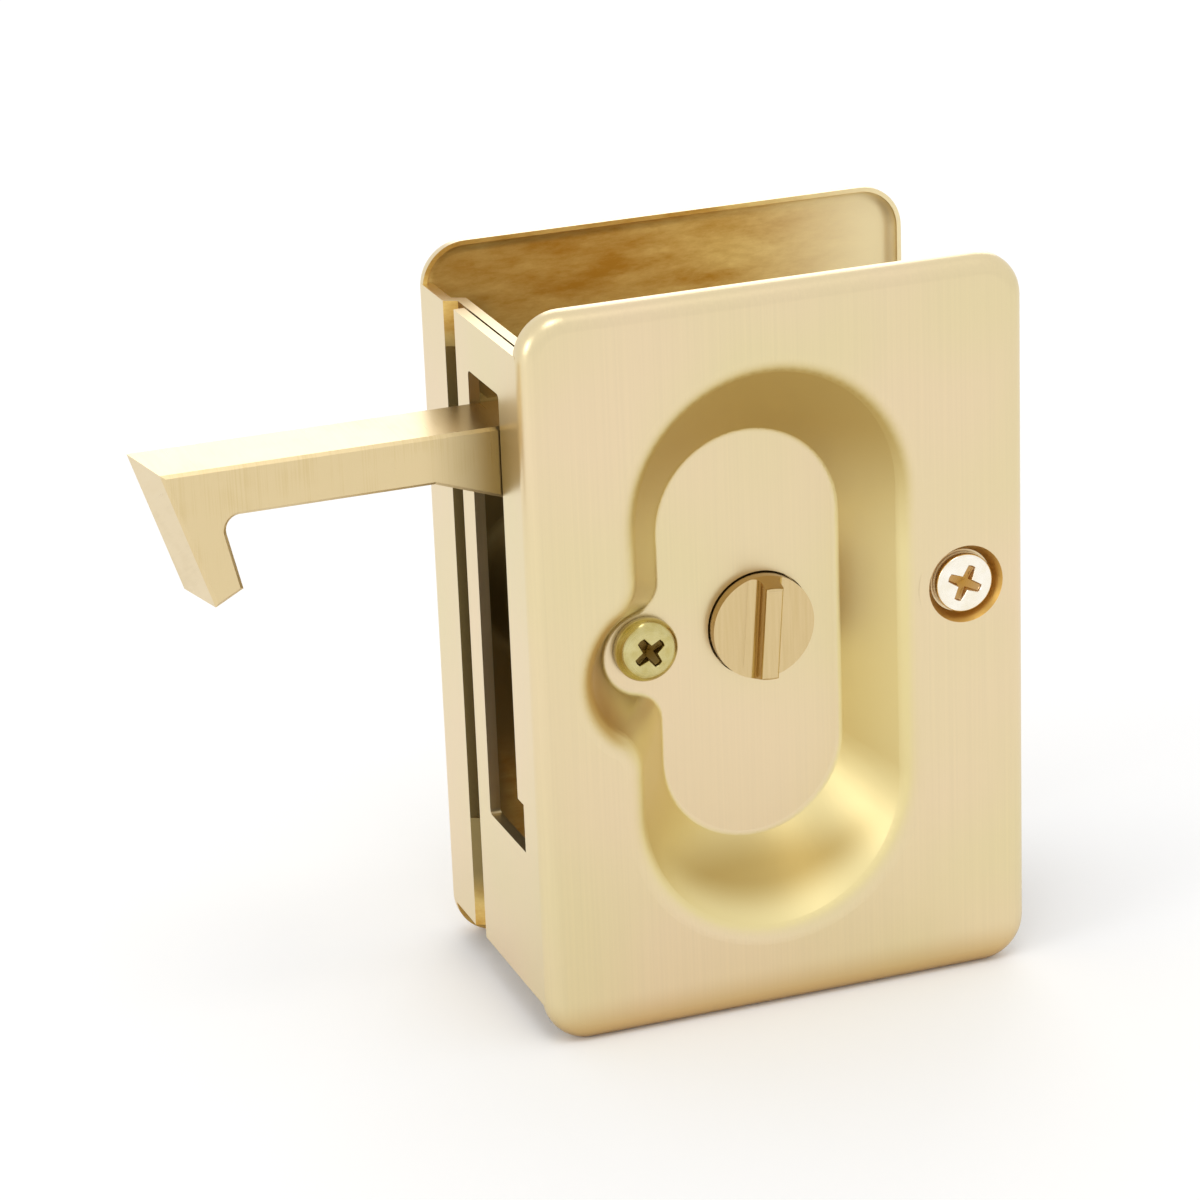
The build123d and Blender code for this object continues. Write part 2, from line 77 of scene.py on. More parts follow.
# Inside and outside plates: half-hard brass sheet, 1.2 mm thick, pressed into a tray with a rolled rim
# and a finger cup. The show side is brushed up and down on a belt and lacquered to a pale champagne.
# The side towards the door keeps its raw, blotchy mill surface.
plate_low, plate_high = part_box("inside_plate")
inside_face, edge_level = plate_low.y, plate_low.x
outside_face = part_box("outside_plate")[1].y
half_width, half_height = plate_high.x, plate_high.z
screw_place = (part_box("right_screw")[0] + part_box("right_screw")[1]) / 2


def linear(hex_colour):
    """An sRGB hex colour as the linear RGBA that shaders take: a power curve with a straight foot."""
    srgb = np.array([int(hex_colour[i : i + 2], 16) for i in (1, 3, 5)]) / 255
    rgb = np.where(srgb <= 0.04045, srgb / 12.92, ((srgb + 0.055) / 1.055) ** 2.4)
    return (*rgb.tolist(), 1.0)


def add(tree, kind, inputs, **settings):
    """Adds one node: settings are its properties, inputs are socket values or the sockets that feed it."""
    node = tree.nodes.new(kind)
    for name, value in settings.items():
        setattr(node, name, value)
    for socket, value in inputs.items():
        if isinstance(value, bpy.types.NodeSocket):
            tree.links.new(value, node.inputs[socket])
        else:
            node.inputs[socket].default_value = value
    return node


def set_stops(ramp, *stops):
    """Gives the two ends of a colour ramp their positions and hex colours."""
    for element, (position, colour) in zip(ramp.color_ramp.elements, stops):
        element.position = position
        element.color = linear(colour)


def start_material(name):
    """An empty node material; returns the material and its node tree."""
    material = bpy.data.materials.new(name)
    material.use_nodes = True
    material.node_tree.nodes.clear()
    return material, material.node_tree


def belt_brushed(tree, point):
    """The show side: pale gold that drifts between a green and a pink cast, with faint upright brush lines.

    Returns the height of the brush lines, from 0 to 1, and the colour.
    """
    # Belt lines 0.25 mm wide and some 30 mm long: real ones are finer, drawn coarser so that they show.
    line_width, line_length = 0.00025, 0.03
    streaks = add(tree, "ShaderNodeMapping", {
        "Vector": point, "Scale": (1 / line_width, 1 / line_width, 1 / line_length)})
    brush = add(tree, "ShaderNodeTexNoise", {
        "Vector": streaks.outputs[0], "Scale": 1.0, "Detail": 3.0, "Roughness": 0.6})
    cast_size = 0.022
    cast = add(tree, "ShaderNodeTexNoise", {"Vector": point, "Scale": 1 / cast_size, "Detail": 1.0})
    gold = add(tree, "ShaderNodeValToRGB", {"Fac": cast.outputs["Fac"]})
    set_stops(gold, (0.35, "#E1D1A5"), (0.65, "#E5D0AB"))
    tone = add(tree, "ShaderNodeMapRange", {
        "Value": brush.outputs["Fac"], "From Min": 0.25, "From Max": 0.75,
        "To Min": 0.972, "To Max": 1.016})
    colour = add(tree, "ShaderNodeVectorMath", {
        0: gold.outputs["Color"], "Scale": tone.outputs[0]}, operation="SCALE")
    return brush.outputs["Fac"], colour.outputs[0]


def raw_mill(tree, point, x, height):
    """The side towards the door: cloudy yellow gold, paler towards the free edge, browner in the middle.

    The browner middle is painted shade. x is the place along the door and height the distance above or
    below the middle. Returns the colour.
    """
    # Clouds some 4 mm high, drawn out along the rolling direction of the sheet.
    cloud_size, drawn_out = 0.004, 0.3
    smear = add(tree, "ShaderNodeMapping", {
        "Vector": point, "Scale": (drawn_out / cloud_size, 1 / cloud_size, 1 / cloud_size)})
    cloud = add(tree, "ShaderNodeTexNoise", {
        "Vector": smear.outputs[0], "Scale": 1.0, "Detail": 8.0, "Roughness": 0.72})
    mill = add(tree, "ShaderNodeValToRGB", {"Fac": cloud.outputs["Fac"]})
    set_stops(mill, (0.34, "#C4902F"), (0.66, "#F0D384"))
    # Paler towards the free edge.
    pale_start, pale_end = 0.21 * half_width, 1.015 * half_width
    toward_free_edge = add(tree, "ShaderNodeMapRange", {
        "Value": x, "From Min": pale_start, "From Max": pale_end}, interpolation_type="SMOOTHSTEP")
    mill = add(tree, "ShaderNodeMix", {
        "Factor": toward_free_edge.outputs[0], 6: mill.outputs["Color"], 7: linear("#F6E6B8")}, data_type="RGBA")

    # Painted shade: the middle is browned, and so is the corner between the slot and the sheet
    # most of the way up, where the closed inside of the lock is in shade.
    shade_outer_height, shade_core_height = 0.654 * half_height, 0.388 * half_height
    inner_shade = add(tree, "ShaderNodeMapRange", {
        "Value": height, "From Min": shade_outer_height, "From Max": shade_core_height}, interpolation_type="SMOOTHSTEP")
    slot_end, slot_core = 0.872 * half_height, 0.727 * half_height
    beside_slot = add(tree, "ShaderNodeMapRange", {
        "Value": height, "From Min": slot_end, "From Max": slot_core}, interpolation_type="SMOOTHSTEP")
    edge_start, edge_core = -0.665 * half_width, -0.822 * half_width
    near_edge = add(tree, "ShaderNodeMapRange", {
        "Value": x, "From Min": edge_start, "From Max": edge_core}, interpolation_type="SMOOTHSTEP")
    corner = add(tree, "ShaderNodeMath", {
        0: beside_slot.outputs[0], 1: near_edge.outputs[0]}, operation="MULTIPLY")
    inner_shade = add(tree, "ShaderNodeMath", {0: inner_shade.outputs[0], 1: corner.outputs[0]}, operation="MAXIMUM")
    colour = add(tree, "ShaderNodeMix", {
        "Factor": inner_shade.outputs[0], 6: mill.outputs[2], 7: linear("#8C7A4C")}, data_type="RGBA")
    return colour.outputs[2]


def door_side_mask(tree, x, normal_x, depth, turned):
    """1 on the unbrushed faces: those that look at the door, and the inner face of the edge flange.

    depth is the distance in from the plate's face and turned the share of the normal towards the door.
    """
    tilt = 0.2
    flange_end, rim_depth = -0.787 * half_width, 0.0028
    back = add(tree, "ShaderNodeMath", {0: turned, 1: tilt}, operation="GREATER_THAN")
    inward = add(tree, "ShaderNodeMath", {0: normal_x, 1: tilt}, operation="GREATER_THAN")
    at_edge = add(tree, "ShaderNodeMath", {0: x, 1: flange_end}, operation="LESS_THAN")
    behind_rim = add(tree, "ShaderNodeMath", {0: depth, 1: rim_depth}, operation="GREATER_THAN")
    flange = add(tree, "ShaderNodeMath", {0: inward.outputs[0], 1: at_edge.outputs[0]}, operation="MULTIPLY")
    flange = add(tree, "ShaderNodeMath", {
        0: flange.outputs[0], 1: behind_rim.outputs[0]}, operation="MULTIPLY")
    mask = add(tree, "ShaderNodeMath", {0: back.outputs[0], 1: flange.outputs[0]}, operation="MAXIMUM")
    return mask.outputs[0]


def cup_gold(tree, face, x, z, height, depth, steep):
    """Lays the drawn cup's deeper golds over the colour face; returns the cup's mask and the colour.

    The cup's walls are tinted a yellower gold; its upper end, the deeper half of its lower end and the lobe
    for the screw are painted shade in a deep gold. steep is 0 on level sheet and 1 on the walls.
    """
    cup_half_width, cup_half_height = 0.892 * half_width, 0.909 * half_height
    width = add(tree, "ShaderNodeMath", {0: x}, operation="ABSOLUTE")
    narrow = add(tree, "ShaderNodeMath", {0: width.outputs[0], 1: cup_half_width}, operation="LESS_THAN")
    short = add(tree, "ShaderNodeMath", {0: height, 1: cup_half_height}, operation="LESS_THAN")
    cup = add(tree, "ShaderNodeMath", {0: narrow.outputs[0], 1: short.outputs[0]}, operation="MULTIPLY")
    cup = add(tree, "ShaderNodeMath", {0: cup.outputs[0], 1: steep}, operation="MULTIPLY")

    # Painted shade: the upper end and the deeper half of the lower end are darkened to a deep gold.
    upper_start, upper_end = 0.194 * half_height, 0.606 * half_height
    upper = add(tree, "ShaderNodeMapRange", {
        "Value": z, "From Min": upper_start, "From Max": upper_end}, interpolation_type="SMOOTHSTEP")
    lower_start, lower_end = -0.497 * half_height, -0.642 * half_height
    lower = add(tree, "ShaderNodeMapRange", {
        "Value": z, "From Min": lower_start, "From Max": lower_end}, interpolation_type="SMOOTHSTEP")
    mouth_depth, sunk_depth = 0.0010, 0.0042
    sunk = add(tree, "ShaderNodeMapRange", {
        "Value": depth, "From Min": mouth_depth, "From Max": sunk_depth}, interpolation_type="SMOOTHSTEP")
    lower = add(tree, "ShaderNodeMath", {0: lower.outputs[0], 1: sunk.outputs[0]}, operation="MULTIPLY")
    ends = add(tree, "ShaderNodeMath", {0: upper.outputs[0], 1: lower.outputs[0]}, operation="MAXIMUM")
    ends = add(tree, "ShaderNodeMath", {0: ends.outputs[0], 1: cup.outputs[0]}, operation="MULTIPLY")
    # Painted shade: the lobe for the screw is darkened to a deep gold.
    lobe_start, lobe_end = -0.577 * half_width, -0.717 * half_width
    lobe = add(tree, "ShaderNodeMapRange", {
        "Value": x, "From Min": lobe_start, "From Max": lobe_end}, interpolation_type="SMOOTHSTEP")
    lobe = add(tree, "ShaderNodeMath", {0: lobe.outputs[0], 1: cup.outputs[0]}, operation="MULTIPLY")

    for mask, gold in ((cup, "#E5D59D"), (ends, "#BCA263"), (lobe, "#BF9F60")):
        colour = add(tree, "ShaderNodeMix", {
            "Factor": mask.outputs[0], 6: face, 7: linear(gold)}, data_type="RGBA")
        face = colour.outputs[2]
    return cup.outputs[0], face


def plate_brass(name, face_level, door_side):
    """Brushed, lacquered brass for a plate with its face at Y = face_level and the door on Y sign door_side.

    The eye sees a pale champagne gold with faint upright lines and a soft sheen, deeper gold in the drawn
    cup, much of it painted shade, and a dull, cloudy yellow gold on the unbrushed side.
    """
    material, tree = start_material(name)
    coords = add(tree, "ShaderNodeTexCoord", {})
    point = coords.outputs["Object"]
    x, y, z = add(tree, "ShaderNodeSeparateXYZ", {"Vector": point}).outputs
    normal_x, normal_y, _ = add(tree, "ShaderNodeSeparateXYZ", {"Vector": coords.outputs["Normal"]}).outputs
    height = add(tree, "ShaderNodeMath", {0: z}, operation="ABSOLUTE").outputs[0]
    depth = add(tree, "ShaderNodeMath", {0: y, 1: face_level}, operation="SUBTRACT")
    depth = add(tree, "ShaderNodeMath", {0: depth.outputs[0], 1: door_side}, operation="MULTIPLY").outputs[0]
    turned = add(tree, "ShaderNodeMath", {0: normal_y, 1: door_side}, operation="MULTIPLY").outputs[0]
    level, wall = -1.0, -0.80
    steep = add(tree, "ShaderNodeMapRange", {
        "Value": turned, "From Min": level, "From Max": wall}, interpolation_type="SMOOTHSTEP").outputs[0]

    brush, face = belt_brushed(tree, point)
    raw = raw_mill(tree, point, x, height)
    door = door_side_mask(tree, x, normal_x, depth, turned)
    cup, face = cup_gold(tree, face, x, z, height, depth, steep)

    # The lower rim is tinted a browner gold.
    foot_start, foot_end = -0.872 * half_height, -0.998 * half_height
    foot = add(tree, "ShaderNodeMapRange", {
        "Value": z, "From Min": foot_start, "From Max": foot_end, "To Max": 0.85},
        interpolation_type="SMOOTHSTEP")

    # Painted shade: the wall of the screw's dimple is painted a deeper orange gold.
    dimple_reach = 0.0049
    from_screw = add(tree, "ShaderNodeVectorMath", {
        0: point, 1: (screw_place.x, inside_face, screw_place.z)}, operation="DISTANCE")
    dimple_shade = add(tree, "ShaderNodeMath", {
        0: from_screw.outputs["Value"], 1: dimple_reach}, operation="LESS_THAN")
    dimple_shade = add(tree, "ShaderNodeMath", {0: dimple_shade.outputs[0], 1: steep}, operation="MULTIPLY")

    # Painted shade: the tongues, which slide behind the other flange, are painted brown.
    tongue_step, tongue_depth, flat = 0.0008, 0.0095, -0.7
    set_back = add(tree, "ShaderNodeMath", {0: x, 1: edge_level + tongue_step}, operation="GREATER_THAN")
    outward = add(tree, "ShaderNodeMath", {0: normal_x, 1: flat}, operation="LESS_THAN")
    tongue_shade = add(tree, "ShaderNodeMath", {
        0: set_back.outputs[0], 1: outward.outputs[0]}, operation="MULTIPLY")
    deep = add(tree, "ShaderNodeMath", {0: depth, 1: tongue_depth}, operation="GREATER_THAN")
    tongue_shade = add(tree, "ShaderNodeMath", {0: tongue_shade.outputs[0], 1: deep.outputs[0]}, operation="MULTIPLY")
    for mask, gold in ((foot, "#C4A062"), (dimple_shade, "#D6AC5E"), (tongue_shade, "#7E5C28")):
        colour = add(tree, "ShaderNodeMix", {
            "Factor": mask.outputs[0], 6: face, 7: linear(gold)}, data_type="RGBA")
        face = colour.outputs[2]

    colour = add(tree, "ShaderNodeMix", {"Factor": door, 6: face, 7: raw}, data_type="RGBA")
    brushed, drawn, unbrushed = (0.26, 0.38), 0.42, 0.48
    rough = add(tree, "ShaderNodeMapRange", {"Value": brush, "To Min": brushed[0], "To Max": brushed[1]})
    rough = add(tree, "ShaderNodeMix", {"Factor": cup, 2: rough.outputs[0], 3: drawn}, data_type="FLOAT")
    rough = add(tree, "ShaderNodeMix", {
        "Factor": door, 2: rough.outputs[0], 3: unbrushed}, data_type="FLOAT")
    # The raw side is dulled by oxide, so part of its light is plain colour.
    bare = add(tree, "ShaderNodeMapRange", {"Value": door, "To Min": 1.0, "To Max": 0.7})
    relief = add(tree, "ShaderNodeBump", {"Height": brush, "Strength": 0.07, "Distance": 0.00002})
    shader = add(tree, "ShaderNodeBsdfPrincipled", {
        "Base Color": colour.outputs[2], "Metallic": bare.outputs[0], "Roughness": rough.outputs[0],
        "Normal": relief.outputs[0]})
    add(tree, "ShaderNodeOutputMaterial", {"Surface": shader.outputs[0]})
    return material


def dress(material, *names):
    """Gives CAD nodes one material in every slot they have."""
    for name in names:
        mesh = nodes[name].data
        mesh.materials.clear()
        mesh.materials.append(material)


dress(plate_brass("brushed_champagne_brass_inside", inside_face, 1.0), "inside_plate")
dress(plate_brass("brushed_champagne_brass_outside", outside_face, -1.0), "outside_plate")

# Working parts behind the plates: two ears with their pivot pin, retainers, washers, stop pins, crank,
# pins and link. They are stamped or turned from steel, zinc plated, dipped in olive chromate and staked.


def zinc_steel(name):
    """Zinc plate with olive chromate on stamped steel: a dull green bronze with a faint crystal mottle."""
    material, tree = start_material(name)
    coords = add(tree, "ShaderNodeTexCoord", {})
    crystal_size, haze_size = 0.0012, 0.004
    crystal = add(tree, "ShaderNodeTexVoronoi", {
        "Vector": coords.outputs["Object"], "Scale": 1 / crystal_size})
    haze = add(tree, "ShaderNodeTexNoise", {
        "Vector": coords.outputs["Object"], "Scale": 1 / haze_size, "Detail": 4.0})
    tone = add(tree, "ShaderNodeMix", {
        "Factor": 0.35, 6: haze.outputs["Color"], 7: crystal.outputs["Color"]}, data_type="RGBA")
    shade = add(tree, "ShaderNodeValToRGB", {"Fac": tone.outputs[2]})
    set_stops(shade, (0.3, "#7C7048"), (0.75, "#A39768"))
    rough = add(tree, "ShaderNodeMapRange", {
        "Value": haze.outputs["Fac"], "To Min": 0.28, "To Max": 0.46})
    shader = add(tree, "ShaderNodeBsdfPrincipled", {
        "Base Color": shade.outputs["Color"], "Metallic": 1.0, "Roughness": rough.outputs[0]})
    add(tree, "ShaderNodeOutputMaterial", {"Surface": shader.outputs[0]})
    return material


dress(
    zinc_steel("olive_chromate_steel"),
    "near_pivot_ear", "far_pivot_ear", "hook_pivot_pin", "turn_retainer", "turn_washer",
    "release_retainer", "release_washer", "stop_pin_out", "stop_pin_in", "drive_crank",
    "crank_pin", "drive_link", "hook_tail_pin",
)

# Thumb turn and coin release: turned brass buttons that show in the cup floors, brushed like the plates.
# The turn has a finger blade across it, and the release a slot for a coin.
blade_height = 0.004
button_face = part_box("thumb_turn")[0].y + blade_height


def turn_brass(name):
    """Brushed brass a shade browner than the plates, with faint upright lines."""
    material, tree = start_material(name)
    coords = add(tree, "ShaderNodeTexCoord", {})
    # Lines 0.3 mm wide and 8 mm long: real ones are finer, drawn coarser so that they show.
    line_width, line_length = 0.0003, 0.008
    streaks = add(tree, "ShaderNodeMapping", {
        "Vector": coords.outputs["Object"],
        "Scale": (1 / line_width, 1 / line_width, 1 / line_length)})
    brush = add(tree, "ShaderNodeTexNoise", {
        "Vector": streaks.outputs[0], "Scale": 1.0, "Detail": 3.0})
    shade = add(tree, "ShaderNodeValToRGB", {"Fac": brush.outputs["Fac"]})
    set_stops(shade, (0.3, "#CFB684"), (0.7, "#D6BE8F"))
    # Painted shade: the root of the blade and its flanks are painted brown.
    root_reach, root_core, near_face = 0.0052, 0.0010, 0.0010
    place = add(tree, "ShaderNodeSeparateXYZ", {"Vector": coords.outputs["Object"]})
    normal = add(tree, "ShaderNodeSeparateXYZ", {"Vector": coords.outputs["Normal"]})
    across = add(tree, "ShaderNodeMath", {0: place.outputs["X"]}, operation="ABSOLUTE")
    root = add(tree, "ShaderNodeMapRange", {
        "Value": across.outputs[0], "From Min": root_reach, "From Max": root_core, "To Max": 0.75},
        interpolation_type="SMOOTHSTEP")
    low = add(tree, "ShaderNodeMath", {
        0: place.outputs["Y"], 1: button_face - near_face}, operation="GREATER_THAN")
    root = add(tree, "ShaderNodeMath", {0: root.outputs[0], 1: low.outputs[0]}, operation="MULTIPLY")
    outward = add(tree, "ShaderNodeMath", {0: normal.outputs["Y"]}, operation="ABSOLUTE")
    flank_shade = add(tree, "ShaderNodeMapRange", {
        "Value": outward.outputs[0], "From Min": 0.8, "From Max": 0.4, "To Max": 0.9})
    root_and_flank_shade = add(tree, "ShaderNodeMath", {0: root.outputs[0], 1: flank_shade.outputs[0]}, operation="MAXIMUM")
    colour = add(tree, "ShaderNodeMix", {
        "Factor": root_and_flank_shade.outputs[0], 6: shade.outputs["Color"], 7: linear("#AF8F56")}, data_type="RGBA")
    rough = add(tree, "ShaderNodeMapRange", {
        "Value": brush.outputs["Fac"], "To Min": 0.15, "To Max": 0.24})
    shader = add(tree, "ShaderNodeBsdfPrincipled", {
        "Base Color": colour.outputs[2], "Metallic": 1.0, "Roughness": rough.outputs[0]})
    add(tree, "ShaderNodeOutputMaterial", {"Surface": shader.outputs[0]})
    return material


dress(turn_brass("brushed_turned_brass"), "thumb_turn", "release_turn")

# Hook bolt: a solid brass bar, milled to a beak and brushed up and down on its two sides.
# It turns on the steel pin between the ears.


def hook_brass(name):
    """Milled brass, a touch paler than the plates, with faint upright brush lines on its sides."""
    material, tree = start_material(name)
    coords = add(tree, "ShaderNodeTexCoord", {})
    # Lines 0.2 mm wide, 20 mm long and 6 mm through the bar: drawn coarser than real ones so that they show.
    line_width, line_through, line_length = 0.0002, 0.006, 0.02
    streaks = add(tree, "ShaderNodeMapping", {
        "Vector": coords.outputs["Object"],
        "Scale": (1 / line_width, 1 / line_through, 1 / line_length)})
    brush = add(tree, "ShaderNodeTexNoise", {
        "Vector": streaks.outputs[0], "Scale": 1.0, "Detail": 3.0})
    mottle_size = 0.006
    mottle = add(tree, "ShaderNodeTexNoise", {
        "Vector": coords.outputs["Object"], "Scale": 1 / mottle_size, "Detail": 2.0})
    tone = add(tree, "ShaderNodeMath", {
        0: brush.outputs["Fac"], 1: mottle.outputs["Fac"]}, operation="ADD")
    shade = add(tree, "ShaderNodeValToRGB", {"Fac": tone.outputs[0]})
    set_stops(shade, (0.6, "#D2BB88"), (1.0, "#DCC79A"))
    # Painted shade: the bar darkens from some 9 mm outside the edge inwards, towards the slot.
    slot_shade_start, slot_shade_end = edge_level - 0.0094, edge_level + 0.0016
    place = add(tree, "ShaderNodeSeparateXYZ", {"Vector": coords.outputs["Object"]})
    slot_shade = add(tree, "ShaderNodeMapRange", {
        "Value": place.outputs["X"], "From Min": slot_shade_start, "From Max": slot_shade_end},
        interpolation_type="SMOOTHSTEP")
    shade = add(tree, "ShaderNodeMix", {
        "Factor": slot_shade.outputs[0], 6: shade.outputs["Color"], 7: linear("#8A7549")}, data_type="RGBA")
    rough = add(tree, "ShaderNodeMapRange", {
        "Value": brush.outputs["Fac"], "To Min": 0.24, "To Max": 0.36})
    relief = add(tree, "ShaderNodeBump", {
        "Height": brush.outputs["Fac"], "Strength": 0.08, "Distance": 0.00002})
    shader = add(tree, "ShaderNodeBsdfPrincipled", {
        "Base Color": shade.outputs[2], "Metallic": 1.0, "Roughness": rough.outputs[0],
        "Normal": relief.outputs[0]})
    add(tree, "ShaderNodeOutputMaterial", {"Surface": shader.outputs[0]})
    return material


dress(hook_brass("milled_brushed_brass"), "hook_bolt")

# Posts: two brass bars staked into the outside plate, drilled and tapped for the screws.
# Turned from bar and left plain.


def turned_brass(name, dark, light, recess_shade_colour):
    """Bright turned brass: a faint cloud, lathe rings round the axis, and painted shade in a cross recess.

    The rings and the painted shade follow a piece's own attributes radius and recess, which the posts lack.
    """
    material, tree = start_material(name)
    coords = add(tree, "ShaderNodeTexCoord", {})
    cloud_size = 0.0015
    cloud = add(tree, "ShaderNodeTexNoise", {
        "Vector": coords.outputs["Object"], "Scale": 1 / cloud_size, "Detail": 4.0})
    shade = add(tree, "ShaderNodeValToRGB", {"Fac": cloud.outputs["Fac"]})
    set_stops(shade, (0.3, dark), (0.7, light))
    sunk = add(tree, "ShaderNodeAttribute", {}, attribute_name="recess")
    colour = add(tree, "ShaderNodeMix", {
        "Factor": sunk.outputs["Fac"], 6: shade.outputs["Color"], 7: linear(recess_shade_colour)}, data_type="RGBA")
    # Lathe rings 0.3 mm apart: real ones are finer, drawn coarser here so that they show.
    ring_spacing = 0.0003
    radius = add(tree, "ShaderNodeAttribute", {}, attribute_name="radius")
    rings = add(tree, "ShaderNodeMath", {
        0: radius.outputs["Fac"], 1: 2 * math.pi / ring_spacing}, operation="MULTIPLY")
    rings = add(tree, "ShaderNodeMath", {0: rings.outputs[0]}, operation="SINE")
    rough = add(tree, "ShaderNodeMapRange", {
        "Value": rings.outputs[0], "From Min": -1.0, "To Min": 0.18, "To Max": 0.28})
    shader = add(tree, "ShaderNodeBsdfPrincipled", {
        "Base Color": colour.outputs[2], "Metallic": 1.0, "Roughness": rough.outputs[0]})
    add(tree, "ShaderNodeOutputMaterial", {"Surface": shader.outputs[0]})
    return material


dress(turned_brass("plain_turned_brass", "#CDAE62", "#DFC57E", "#6B5020"), "left_post", "right_post")

# Screws: brass machine screws, headed with a cross recess and rolled with a fine thread. The cup screw has
# a domed pan head in greenish yellow brass; the plate screw sits low in its dimple and is washed pale.


def cross_screw(name, head_height, crown, dome, arm_length, turn, material):
    """One screw in the space of its CAD node: rows along the profile, columns round the axis.

    The rows run from the middle of the head outwards, round its crown, down its side, in under it and along
    the thread to the tip. A cross of four arms sinks the head: the depth is greatest in the middle, less
    towards the arms' ends, and falls to nothing over a narrow slope at the arms' sides. The thread moves
    the radius in and out as a triangle wave of the height less one turn's share of the angle.
    """
    low, high = (np.array(corner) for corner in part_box(name))
    middle = (low + high) / 2
    head = (high[0] - low[0]) / 2
    shank, pitch, thread_depth = 0.00198, 0.0007, 0.00028
    tip_length, tip_taper = 0.0015, 0.0005
    arm_half, arm_flare, slope, arm_end_round = 0.00046, 0.00022, 0.00014, 1.3
    middle_depth, depth_lost, full_depth_head = 0.0012, 0.0008, 0.0016
    smallest_radius = 0.00002
    columns, rows_per_turn = 168, 8
    angle = np.arange(columns) * (2 * np.pi / columns)

    flat = np.linspace(smallest_radius, head - crown, 52)
    bend = np.linspace(0, np.pi / 2, 14)[1:]
    side = np.linspace(crown, head_height, 5)[1:]
    under = np.linspace(head, shank, 6)[1:]
    length = high[1] - low[1] - head_height
    run = np.arange(1, int(length / pitch * rows_per_turn)) * (pitch / rows_per_turn)
    rows_r = np.concatenate([
        flat, head - crown + crown * np.sin(bend), np.full(side.size, head), under,
        np.full(run.size, shank)])
    rows_y = np.concatenate([
        0 * flat, crown * (1 - np.cos(bend)), side, np.full(under.size, head_height), head_height + run])
    on_head = np.arange(rows_r.size) < flat.size + bend.size
    rows_y = rows_y + np.where(on_head, dome * (rows_r / head) ** 2 * (1 - rows_y / head_height), 0)

    r, a = np.meshgrid(rows_r, angle, indexing="ij")
    y = np.repeat(rows_y[:, None], columns, axis=1)
    along = np.abs(r * np.cos(a - turn))
    across = np.abs(r * np.sin(a - turn))
    long_side, short_side = np.maximum(along, across), np.minimum(along, across)
    half = arm_half + arm_flare * np.clip(1 - long_side / arm_length, 0, 1)
    inside = np.minimum(half - short_side, arm_length - np.hypot(long_side, arm_end_round * short_side))
    sunk = np.clip(inside / slope, 0, 1) * on_head[:, None]
    outer = np.clip(long_side / arm_length, 0, 1)
    depth = (middle_depth - depth_lost * outer) * min(1, head_height / full_depth_head)
    y = y + sunk * depth

    threaded = (np.arange(rows_r.size) >= rows_r.size - run.size)[:, None]
    wave = np.abs(2 * ((y / pitch - a / (2 * np.pi)) % 1) - 1)
    ease = np.clip((high[1] - low[1] - y) / tip_length, 0, 1)
    r = np.where(threaded, r - thread_depth * wave - tip_taper * (1 - ease), r)

    rings = np.stack([middle[0] + r * np.cos(a), low[1] + y, middle[2] + r * np.sin(a)], axis=-1)
    poles = np.array([[middle[0], low[1] + y[0].mean(), middle[2]], [middle[0], high[1], middle[2]]])
    verts = np.concatenate([rings.reshape(-1, 3), poles])
    index = np.arange(r.size).reshape(r.shape)
    after = np.roll(index, -1, axis=1)
    quads = np.stack([index[:-1], index[1:], after[1:], after[:-1]], axis=-1).reshape(-1, 4)
    front = np.stack([np.full(columns, r.size), index[0], after[0]], axis=-1)
    tip = np.stack([index[-1], np.full(columns, r.size + 1), after[-1]], axis=-1)

    mesh = bpy.data.meshes.new(name + "_shape")
    mesh.from_pydata(verts.tolist(), [], quads.tolist() + front.tolist() + tip.tolist())
    mesh.polygons.foreach_set("use_smooth", np.ones(len(mesh.polygons), dtype=bool))
    recess = mesh.attributes.new("recess", "FLOAT", "POINT")
    # Painted shade: the recess attribute tints the cross recess and the head's side and underside darker.
    below_crown = ~on_head[:, None] & ~threaded
    side_shade, lighter_arm_ends = 0.4, 0.12
    recess_shade = np.where(below_crown, side_shade, sunk * (1 - lighter_arm_ends * outer))
    recess.data.foreach_set("value", np.append(recess_shade.ravel(), [1.0, 0.0]).astype(np.float32))
    radius = mesh.attributes.new("radius", "FLOAT", "POINT")
    radius.data.foreach_set("value", np.append(r.ravel(), [0.0, 0.0]).astype(np.float32))
    mesh.materials.append(material)
    piece = bpy.data.objects.new("shaped_" + name, mesh)
    bpy.context.scene.collection.objects.link(piece)
    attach(piece, "inside_half")
    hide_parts(name)
    return piece


cup_screw = cross_screw(
    "left_screw", head_height=0.0020, crown=0.0012, dome=0.0003, arm_length=0.00185,
    turn=math.radians(34.0),
    material=turned_brass("greenish_yellow_brass", "#BFAF6C", "#D3C892", "#5A4010"))
plate_screw = cross_screw(
    "right_screw", head_height=0.00135, crown=0.00027, dome=0.0001, arm_length=0.0021,
    turn=math.radians(-26.0),
    material=turned_brass("washed_pale_brass", "#F2EAD6", "#FAF5EA", "#B5863A"))

# Studio: a matt white floor under the plates' lower rims, a white room, three soft lamps above the front,
# at the left and behind, and the camera where the photograph was taken from.
floor_level, floor_half = cad_box[0][2], 4.0
floor_signs = ((-1, -1), (1, -1), (1, 1), (-1, 1))
floor_corners = [(x * floor_half, y * floor_half, floor_level) for x, y in floor_signs]
floor_mesh = bpy.data.meshes.new("floor")
floor_mesh.from_pydata(floor_corners, [], [(0, 1, 2, 3)])
floor = bpy.data.objects.new("floor", floor_mesh)
bpy.context.scene.collection.objects.link(floor)
paint, tree = start_material("matt_white_floor")
shader = add(tree, "ShaderNodeBsdfPrincipled", {
    "Base Color": linear("#FAFAFA"), "Roughness": 0.9, "Specular IOR Level": 0.0})
add(tree, "ShaderNodeOutputMaterial", {"Surface": shader.outputs[0]})
floor_mesh.materials.append(paint)

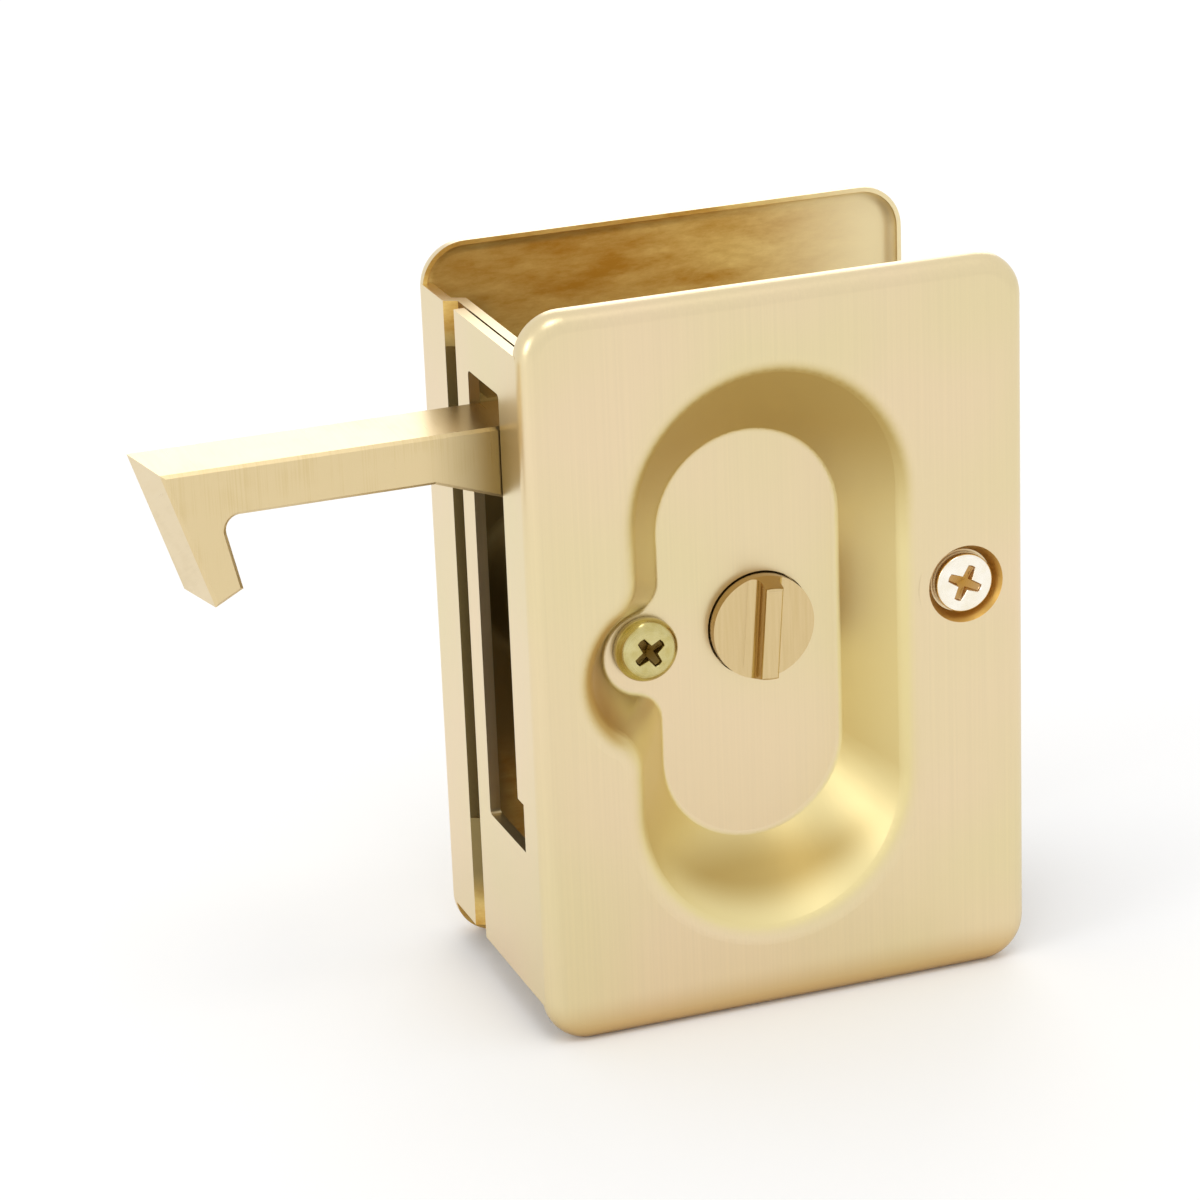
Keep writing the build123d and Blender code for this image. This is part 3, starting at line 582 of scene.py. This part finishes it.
world = bpy.data.worlds.new("white_room")
bpy.context.scene.world = world
world.use_nodes = True
tree = world.node_tree
tree.nodes.clear()
rays = add(tree, "ShaderNodeLightPath", {})
seen = add(tree, "ShaderNodeMath", {
    0: rays.outputs["Is Camera Ray"], 1: rays.outputs["Is Glossy Ray"]}, operation="MAXIMUM")
seen = add(tree, "ShaderNodeMath", {
    0: seen.outputs[0], 1: rays.outputs["Is Transmission Ray"]}, operation="MAXIMUM")
level = add(tree, "ShaderNodeMapRange", {"Value": seen.outputs[0], "To Min": 0.92, "To Max": 1.0})
sky = add(tree, "ShaderNodeBackground", {"Color": (1, 1, 1, 1), "Strength": level.outputs[0]})
add(tree, "ShaderNodeOutputWorld", {"Surface": sky.outputs[0]})


def facing(side, up, away, place):
    """The placing matrix whose columns are a thing's right, up and backward directions and its place."""
    matrix = np.eye(4)
    matrix[:3] = np.array([side, up, away, place]).T
    return Matrix(matrix.tolist())


def lamp(name, place, aim, size, watts):
    """A square soft lamp at place that faces aim."""
    data = bpy.data.lights.new(name, "AREA")
    data.energy = watts
    data.size = size
    light = bpy.data.objects.new(name, data)
    bpy.context.scene.collection.objects.link(light)
    away = np.array(place) - np.array(aim)
    away = away / np.linalg.norm(away)
    side = np.cross((0, 0, 1.0), away)
    side = side / np.linalg.norm(side)
    up = np.cross(away, side)
    light.matrix_world = facing(side, up, away, place)


lamp("overhead", place=(-0.1, -0.35, 0.9), aim=(0, 0, 0), size=0.35, watts=1.2)
lamp("left", place=(-0.9, -0.3, 0.35), aim=(0, 0, 0), size=0.35, watts=1.2)
lamp("behind", place=(0.5, 1.2, 0.5), aim=(0, 0, 0), size=0.8, watts=2.7)

azimuth, elevation, roll = (math.radians(a) for a in (-19.433, 20.148, -2.339))
distance, focal_pixels, image_pixels = 0.53052, 4174.6, 1200
target = np.array([0.007496, 0.07816, -0.02169])
back = np.array([
    math.sin(azimuth) * math.cos(elevation), -math.cos(azimuth) * math.cos(elevation), math.sin(elevation)])
right = np.cross(-back, (0, 0, 1.0))
right = right / np.linalg.norm(right)
up = np.cross(right, -back)
right, up = right * math.cos(roll) + up * math.sin(roll), up * math.cos(roll) - right * math.sin(roll)
lens = bpy.data.cameras.new("camera")
lens.sensor_width = 36.0
lens.sensor_fit = "HORIZONTAL"
lens.lens = lens.sensor_width * focal_pixels / image_pixels
lens.clip_start = 0.01
camera = bpy.data.objects.new("camera", lens)
bpy.context.scene.collection.objects.link(camera)
position = target + back * distance
camera.matrix_world = facing(right, up, back, position)
bpy.context.scene.camera = camera
bpy.context.scene.view_settings.view_transform = "Standard"
